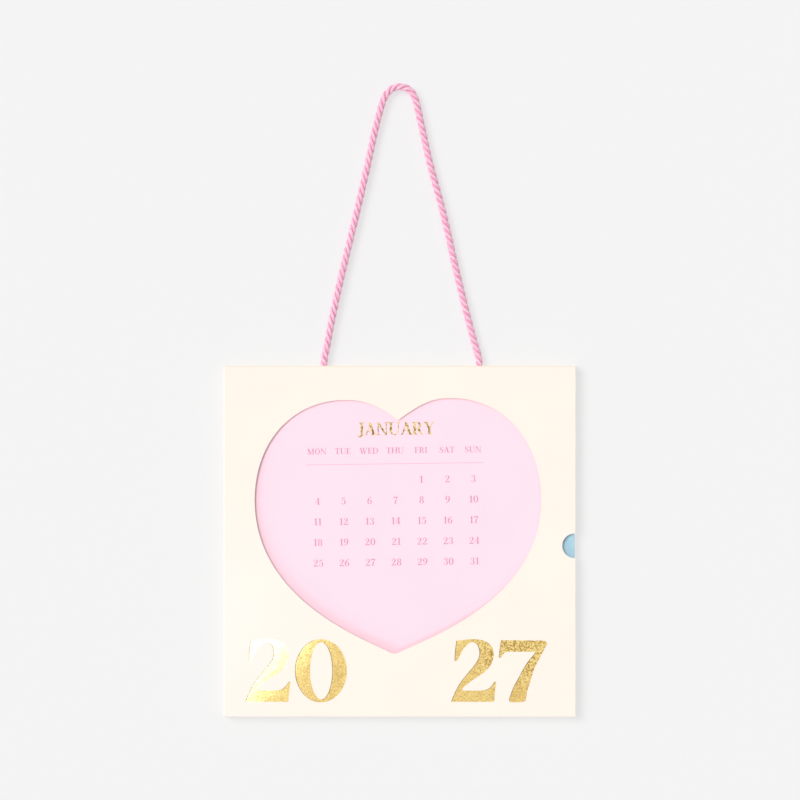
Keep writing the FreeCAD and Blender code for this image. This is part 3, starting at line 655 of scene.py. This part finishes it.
# each letter's width and shapes, as shares of its height
LETTERS = {
    "A": (0.80, ink(slant(0.11, 0.40, HAIR), slant(0.645, 0.385, STEM * 1.05),
                    rect(0.19, 0.29, 0.55, 0.29 + HAIR), foot(0.11, 0.10), foot(0.645, FULL))),
    "B": (0.72, bowl(0.17, 0.0, 0.54, 0.18, 0.51) + bowl(0.17, 0.49, 1.0, 0.16, 0.45)
          + ink(stem(0.18), rect(0.02, 0, 0.30, HAIR), rect(0.02, 1 - HAIR, 0.30, 1))),
    "C": (0.75, ink(brush((0.655, 0.70, 0.03), (0.60, 0.86, 0.05), (0.43, 0.975, 0.05), (0.22, 0.87, 0.12),
                          (0.13, 0.50, 0.175), (0.22, 0.13, 0.12), (0.43, 0.025, 0.05), (0.60, 0.12, 0.045),
                          (0.69, 0.28, 0.04)),
                    beak(0.70, -0.02, 0.64, 1.0))),
    "D": (0.82, bowl(0.17, 0.0, 1.0, 0.18, 0.61) + ink(stem(0.18), rect(0.02, 0, 0.35, HAIR),
                                                        rect(0.02, 1 - HAIR, 0.35, 1))),
    "E": (0.67, ink(stem(0.18), rect(0.02, 0, 0.60, HAIR), rect(0.02, 1 - HAIR, 0.58, 1),
                    rect(0.18, 0.48, 0.44, 0.48 + HAIR), rect(0.41, 0.38, 0.45, 0.63),
                    beak(0.60, -0.025, 0.72, 1.0), beak(0.63, -0.03, 0.30, 0.0))),
    "F": (0.62, ink(stem(0.18), foot(0.18, FULL + 0.03), rect(0.02, 1 - HAIR, 0.56, 1),
                    rect(0.18, 0.47, 0.43, 0.47 + HAIR), rect(0.40, 0.37, 0.44, 0.62),
                    beak(0.58, -0.025, 0.70, 1.0))),
    "G": (0.82, ink(brush((0.655, 0.70, 0.03), (0.60, 0.86, 0.05), (0.43, 0.975, 0.05), (0.22, 0.87, 0.12),
                          (0.13, 0.50, 0.175), (0.22, 0.13, 0.12), (0.42, 0.025, 0.05), (0.60, 0.06, 0.05)),
                    beak(0.70, -0.02, 0.64, 1.0), stem(0.655, 0.04, 0.42), foot(0.655, FULL, 0.40))),
    "H": (0.88, ink(stem(0.18), stem(0.70), rect(0.18, 0.48, 0.70, 0.48 + HAIR), foot(0.18, FULL),
                    head(0.18, FULL), foot(0.70, FULL), head(0.70, FULL))),
    "I": (0.37, ink(stem(0.185), foot(0.185, FULL), head(0.185, FULL))),
    "J": (0.52, ink(brush((0.33, 1.0, STEM), (0.33, 0.55, STEM), (0.33, 0.15, STEM), (0.28, -0.06, 0.11),
                          (0.17, -0.15, 0.05), (0.09, -0.12, 0.05)),
                    head(0.33, FULL), oval(0.10, -0.06, 0.065, 0.07, 16))),
    "L": (0.67, ink(stem(0.18), head(0.18, FULL), rect(0.02, 0, 0.61, HAIR), beak(0.63, -0.03, 0.34, 0.0))),
    "M": (1.02, ink(stem(0.14, wide=HAIR), slant(0.48, 0.175, STEM * 1.1), slant(0.48, 0.80, HAIR),
                    stem(0.83), foot(0.14, THIN), rect(0.03, 1 - HAIR, 0.2, 1), foot(0.83, FULL),
                    rect(0.76, 1 - HAIR, 1.0, 1))),
    "N": (0.86, ink(stem(0.15, wide=HAIR), stem(0.72, wide=HAIR),
                    np.array([(0.06, 1.0), (0.24, 1.0), (0.745, 0.0), (0.70, -0.02), (0.64, 0.0)]),
                    foot(0.15, THIN), head(0.72, THIN))),
    "O": (0.82, ring(0.41, 0.5, 0.36, 0.52, 0.175)),
    "P": (0.70, bowl(0.17, 0.44, 1.0, 0.16, 0.48) + ink(stem(0.18), foot(0.18, FULL + 0.02),
                                                         rect(0.02, 1 - HAIR, 0.30, 1))),
    "R": (0.80, bowl(0.17, 0.47, 1.0, 0.16, 0.47) + ink(
        brush((0.36, 0.49, 0.07), (0.48, 0.40, 0.14), (0.55, 0.22, 0.165), (0.62, 0.06, 0.12),
              (0.74, 0.02, 0.045)),
        stem(0.18), foot(0.18, FULL), rect(0.02, 1 - HAIR, 0.30, 1))),
    "S": (0.62, ink(brush((0.49, 0.70, 0.03), (0.46, 0.87, 0.045), (0.31, 0.975, 0.05), (0.15, 0.90, 0.10),
                          (0.13, 0.73, 0.14), (0.24, 0.58, 0.175), (0.40, 0.43, 0.18), (0.48, 0.27, 0.15),
                          (0.44, 0.09, 0.10), (0.28, 0.025, 0.05), (0.13, 0.10, 0.045), (0.085, 0.30, 0.03)),
                    beak(0.52, -0.01, 0.68, 1.0), beak(0.085, -0.01, 0.32, 0.0))),
    "T": (0.74, ink(stem(0.37), foot(0.37, FULL + 0.02), rect(0.06, 1 - HAIR, 0.68, 1),
                    beak(0.70, 0.0, 0.70, 1.0), beak(0.09, 0.0, 0.70, 1.0))),
    "U": (0.86, ink(brush((0.18, 1.0, STEM), (0.18, 0.65, STEM), (0.18, 0.33, STEM), (0.24, 0.11, 0.13),
                          (0.44, 0.015, 0.06), (0.64, 0.12, 0.05), (0.705, 0.36, HAIR), (0.705, 0.7, HAIR),
                          (0.705, 1.0, HAIR)), head(0.18, FULL), head(0.705, THIN))),
    "V": (0.82, ink(slant(0.43, 0.165, STEM * 1.05, -0.01), slant(0.425, 0.70, HAIR, -0.01),
                    head(0.165, FULL), head(0.70, THIN))),
    "W": (1.15, ink(slant(0.37, 0.15, STEM, -0.01), slant(0.37, 0.56, HAIR, -0.01),
                    slant(0.76, 0.53, STEM, -0.01), slant(0.76, 1.01, HAIR, -0.01), head(0.15, FULL),
                    head(0.53, FULL), head(1.01, THIN))),
    "Y": (0.80, ink(stem(0.41, 0.0, 0.46), slant(0.405, 0.16, STEM * 1.05, 0.42),
                    slant(0.43, 0.68, HAIR, 0.42), foot(0.41, FULL), head(0.16, FULL), head(0.68, THIN))),
    "0": (0.60, ring(0.30, 0.5, 0.27, 0.52, 0.155)),
    "1": (0.44, ink(stem(0.24, wide=0.15), foot(0.24, 0.17), brush((0.06, 0.80, 0.04), (0.16, 0.88, 0.05),
                                                                  (0.24, 0.985, 0.05)))),
    "2": (0.58, ink(brush((0.10, 0.70, 0.045), (0.12, 0.86, 0.05), (0.27, 0.975, 0.055), (0.42, 0.86, 0.13),
                          (0.43, 0.68, 0.15), (0.33, 0.46, 0.12), (0.19, 0.26, 0.08), (0.08, 0.05, 0.05)),
                    oval(0.125, 0.73, 0.065, 0.07, 16),
                    np.array([(0.04, 0.0), (0.51, 0.0), (0.55, 0.29), (0.52, 0.29), (0.48, 0.165),
                              (0.40, 0.14), (0.12, 0.14)]))),
    "3": (0.56, ink(brush((0.12, 0.80, 0.05), (0.16, 0.93, 0.05), (0.28, 0.975, 0.05), (0.41, 0.86, 0.12),
                          (0.40, 0.66, 0.12), (0.29, 0.545, 0.05), (0.20, 0.53, 0.045)),
                    brush((0.20, 0.53, 0.045), (0.30, 0.525, 0.05), (0.42, 0.42, 0.13), (0.43, 0.20, 0.15),
                          (0.34, 0.04, 0.08), (0.21, 0.02, 0.045), (0.10, 0.09, 0.045)),
                    oval(0.135, 0.79, 0.06, 0.065, 16), oval(0.115, 0.17, 0.065, 0.07, 16))),
    "4": (0.60, ink(stem(0.39, 0.0, 1.0, 0.15),
                    brush((0.06, 0.27, 0.045), (0.22, 0.62, 0.05), (0.39, 0.985, 0.05)),
                    rect(0.035, 0.245, 0.57, 0.245 + HAIR), foot(0.39, 0.16))),
    "5": (0.56, ink(np.array([(0.11, 0.99), (0.20, 0.965), (0.34, 0.965), (0.47, 1.0), (0.44, 0.85),
                              (0.28, 0.82), (0.155, 0.86)]), rect(0.11, 0.50, 0.155, 0.98),
                    brush((0.125, 0.51, 0.045), (0.19, 0.60, 0.045), (0.31, 0.62, 0.06), (0.42, 0.50, 0.13),
                          (0.43, 0.27, 0.155), (0.35, 0.06, 0.09), (0.22, 0.02, 0.045), (0.11, 0.08, 0.045)),
                    oval(0.12, 0.16, 0.065, 0.07, 16))),
    "6": (0.58, SIX),
    "7": (0.54, ink(np.array([(0.06, 1.0), (0.51, 1.0), (0.51, 0.93), (0.45, 0.84), (0.13, 0.84),
                              (0.08, 0.70), (0.05, 0.70)]),
                    brush((0.48, 0.93, 0.06), (0.38, 0.68, 0.08), (0.27, 0.38, 0.13), (0.23, 0.0, 0.16)))),
    "8": (0.58, ring(0.29, 0.265, 0.25, 0.285, 0.145) + ring(0.29, 0.755, 0.21, 0.265, 0.125)),
    "9": (0.58, NINE),
}
stamped = {letter: stamp(shapes) for letter, (_, shapes) in LETTERS.items()}

# where the print stands on a card, in millimetres from the card's middle
NAME_RISE, NAME_HEIGHT, NAME_STRETCH, NAME_SHIFT = 63.6, 7.15, 1.14, 1.4
WEEKDAY_RISE, WEEKDAY_HEIGHT, WEEKDAY_STRETCH = 53.0, 3.4, 1.2
RULE_RISE, RULE_LENGTH, RULE_THICK = 47.1, 100.8, 0.22
FIRST_ROW_RISE, ROW_PITCH, DATE_HEIGHT, DATE_STRETCH = 36.1, 11.73, 4.0, 1.32
COLUMN_PITCH, COLUMN_SHIFT = 14.82, 0.6


def set_line(text, height, stretch, middle, rise):
    """The sheets of a line of letters, centred on its middle and standing on its rise."""
    widths = [LETTERS[letter][0] * height * stretch for letter in text]
    starts = middle - sum(widths) / 2 + np.concatenate([[0], np.cumsum(widths)[:-1]])
    return [(stamped[letter][0] * (height * stretch, height) + (start, rise), stamped[letter][1])
            for letter, start in zip(text, starts)]


def page(month):
    """The sheets of a month's weekdays, rule and dates."""
    sheets = [stamp([(INK, rect(COLUMN_SHIFT - RULE_LENGTH / 2, RULE_RISE - RULE_THICK / 2,
                                COLUMN_SHIFT + RULE_LENGTH / 2, RULE_RISE + RULE_THICK / 2))])]
    for column, weekday in enumerate(WEEKDAYS):
        middle = COLUMN_SHIFT + (column - 3) * COLUMN_PITCH
        sheets += set_line(weekday, WEEKDAY_HEIGHT, WEEKDAY_STRETCH, middle, WEEKDAY_RISE)
        for row, week in enumerate(calendar.monthcalendar(YEAR_NUMBER, month)):
            if week[column]:
                rise = FIRST_ROW_RISE - row * ROW_PITCH
                sheets += set_line(str(week[column]), DATE_HEIGHT, DATE_STRETCH, middle, rise)
    return sheets


def print_ink(name, colour):
    """Ink soaked into the board: the board's own felt, with a little of it showing through."""
    material, tree, shader = new_material(name)
    place = node(tree, "ShaderNodeTexCoord").outputs["Object"]
    thin = tuple(min(1.0, c * 1.15 + 0.03) for c in colour)
    tone = ramp(tree, noise(tree, place, 2600.0, 3.0), [(0.3, colour), (0.75, thin)])
    tree.links.new(tone, shader.inputs["Base Color"])
    shader.inputs["Roughness"].default_value = 0.7
    bump(tree, shader, noise(tree, place, 900.0, 4.0), 0.00003)
    return material


# the months' names: the same gold foil with a far darker deep end, partly the foil's own mottle and partly
# painted shade for the dark it mirrors behind the window
name_foil_shaded = foil("name_foil_shaded", (0.95, 0.74, 0.30), (0.24, 0.14, 0.02), 700.0)
printed_cards = []
for number, month in enumerate(MONTHS, 1):
    card = f"card_{month}"
    printed_cards.append(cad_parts[card])
    colour = CARD_COLOURS[month]
    core = tuple(c * CORE_SHARE + CORE_WHITE for c in colour)
    refinish(card, board(f"{month}_board", colour, core))
    low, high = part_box(card)
    middle = np.array([(low.x + high.x) / 2, (low.z + high.z) / 2])
    tilt = FRONT_TILT if number == 1 else 0.0
    letters = set_line(month.upper(), NAME_HEIGHT, NAME_STRETCH, NAME_SHIFT, NAME_RISE)
    tint = JANUARY_INK if number == 1 else tuple(c ** 2.0 * INK_SHADE for c in colour)
    prints = [("name", letters, name_foil_shaded), ("dates", page(number), print_ink(f"{month}_ink", tint))]
    for kind, sheets, material in prints:
        placed = [(corners * MM + middle, triangles) for corners, triangles in sheets]
        piece = skin(f"{month}_{kind}", placed, low.y, material, card, tilt, middle)
        printed_cards.append(piece)

# The setting: a pale matt wall that the calendar hangs against and a pale floor below it, with light from
# the left. The wall can be looked through from behind.
LIGHT = 1.08                # what the lights add up to on a face that looks at the viewer
KEY_SHARE = 0.47            # of it
RAKE_SHARE = 0.17           # what a raking light adds to it on the cards
LIGHT_BEHIND = 1.0
KEY_WAY, KEY_ANGLE = (-0.51, -0.82, 0.27), 34
RAKE_WAY, RAKE_ANGLE = (-0.65, -0.22, -0.727), 24
MIRRORED_WAY = (-0.66, -0.62, 0.42)     # where the room that mirrors see is brightest
MIRRORED_LOW, MIRRORED_HIGH = 0.42, 1.37
WALL = 0.841
WALL_MATT = 0.35            # the share of the wall's brightness that shadows can take away
WALL_GAP = 0.0004           # between the calendar's back and the wall
WALL_REACH, WALL_TOP = 3, 2
FLOOR, FLOOR_REACH = -1.1, 4


def wall_paint():
    """Paint that glows with most of the wall's brightness, so that shadows on it stay pale. Only a camera
    that looks at its front sees it, and every other ray goes through."""
    material, tree, shader = new_material("wall_paint")
    shader.inputs["Base Color"].default_value = (*[WALL * WALL_MATT] * 3, 1)
    shader.inputs["Emission Color"].default_value = (1, 1, 1, 1)
    shader.inputs["Emission Strength"].default_value = WALL * (1 - WALL_MATT) * LIGHT
    shader.inputs["Roughness"].default_value = 1.0
    shader.inputs["Specular IOR Level"].default_value = 0.0
    clear = node(tree, "ShaderNodeBsdfTransparent")
    seen = node(tree, "ShaderNodeLightPath").outputs["Is Camera Ray"]
    behind = node(tree, "ShaderNodeNewGeometry").outputs["Backfacing"]
    front = node(tree, "ShaderNodeMath", operation="SUBTRACT", use_clamp=True)
    tree.links.new(seen, front.inputs[0])
    tree.links.new(behind, front.inputs[1])
    mix = node(tree, "ShaderNodeMixShader")
    tree.links.new(front.outputs[0], mix.inputs[0])
    tree.links.new(clear.outputs[0], mix.inputs[1])
    tree.links.new(shader.outputs[0], mix.inputs[2])
    tree.links.new(mix.outputs[0], tree.nodes["Material Output"].inputs["Surface"])
    return material


def plane(name, corners, material):
    """One flat face of the setting."""
    mesh = bpy.data.meshes.new(name)
    mesh.from_pydata(corners, [], [(0, 1, 2, 3)])
    mesh.materials.append(material)
    made = bpy.data.objects.new(name, mesh)
    bpy.context.scene.collection.objects.link(made)


paint = wall_paint()
plane("wall", [(-WALL_REACH, WALL_GAP, FLOOR), (WALL_REACH, WALL_GAP, FLOOR),
               (WALL_REACH, WALL_GAP, WALL_TOP), (-WALL_REACH, WALL_GAP, WALL_TOP)], paint)
plane("floor", [(-WALL_REACH, -FLOOR_REACH, FLOOR), (WALL_REACH, -FLOOR_REACH, FLOOR),
                (WALL_REACH, WALL_GAP, FLOOR), (-WALL_REACH, WALL_GAP, FLOOR)], paint)


def strength_towards(tree, way, start, end, low, high):
    """A strength that runs from low to high as the direction turns towards a way: the product of the two is
    mapped from start and end to low and high."""
    toward = node(tree, "ShaderNodeVectorMath", operation="DOT_PRODUCT")
    tree.links.new(node(tree, "ShaderNodeTexCoord").outputs["Generated"], toward.inputs[0])
    toward.inputs[1].default_value = way
    made = node(tree, "ShaderNodeMapRange")
    for name, limit in (("From Min", start), ("From Max", end), ("To Min", low), ("To Max", high)):
        made.inputs[name].default_value = limit
    tree.links.new(toward.outputs["Value"], made.inputs["Value"])
    return made.outputs[0]


def studio():
    """Soft pale light: the least from the viewer's side, and more of it thrown back by the wall. Mirrors
    see a room that is bright at the upper left."""
    world = bpy.data.worlds.new("studio")
    bpy.context.scene.world = world
    world.use_nodes = True
    tree = world.node_tree
    strength = node(tree, "ShaderNodeMix", data_type="FLOAT")
    tree.links.new(node(tree, "ShaderNodeLightPath").outputs["Is Glossy Ray"], strength.inputs[0])
    soft = strength_towards(tree, (0, 1, 0), -0.2, 0.2, LIGHT * (1 - KEY_SHARE), LIGHT_BEHIND)
    tree.links.new(soft, strength.inputs[2])
    mirrored = strength_towards(tree, MIRRORED_WAY, 0.0, 1.0, MIRRORED_LOW, MIRRORED_HIGH)
    tree.links.new(mirrored, strength.inputs[3])
    background = tree.nodes["Background"]
    background.inputs["Color"].default_value = (1, 1, 1, 1)
    tree.links.new(strength.outputs[0], background.inputs["Strength"])


def lamp(name, kind, place, aim, **settings):
    """A lamp at a place that points at another."""
    light = bpy.data.lights.new(name, kind)
    for setting, value in settings.items():
        setattr(light, setting, value)
    made = bpy.data.objects.new(name, light)
    made.location = place
    direction = np.array(aim) - np.array(place)
    made.rotation_euler = (np.arctan2(np.hypot(direction[0], direction[1]), -direction[2]), 0,
                           np.arctan2(-direction[0], direction[1]))
    made.visible_camera = False
    bpy.context.scene.collection.objects.link(made)
    return made


def sun(name, way, share, angle):
    """A soft sun that gives a share of the light on a face that looks at the viewer."""
    energy = LIGHT * share * np.pi / -way[1]
    made = lamp(name, "SUN", way, (0, 0, 0), angle=np.radians(angle), energy=energy)
    made.visible_glossy = False
    return made


studio()
sun("key", KEY_WAY, KEY_SHARE, KEY_ANGLE)

# a low light from the lower left rakes over the cards, and the window's rim shades them softly
rake = sun("rake", RAKE_WAY, RAKE_SHARE, RAKE_ANGLE)
rake.light_linking.receiver_collection = bpy.data.collections.new("raked")
for printed in printed_cards:
    rake.light_linking.receiver_collection.objects.link(printed)

# a cool lamp close in front of the first figure that only the foil mirrors
GLINT_X, GLINT_Z, GLINT_DISTANCE = -0.1140, -0.3025, 0.045
GLINT_TURN = 50
glint = lamp("glint", "AREA", (GLINT_X, -GLINT_DISTANCE, GLINT_Z), (GLINT_X, 0, GLINT_Z),
             shape="SQUARE", size=0.1, energy=0.15, color=(0.55, 0.74, 1.0))
glint.rotation_euler.rotate_axis("Z", np.radians(GLINT_TURN))
glint.visible_diffuse = False
glint.visible_transmission = False
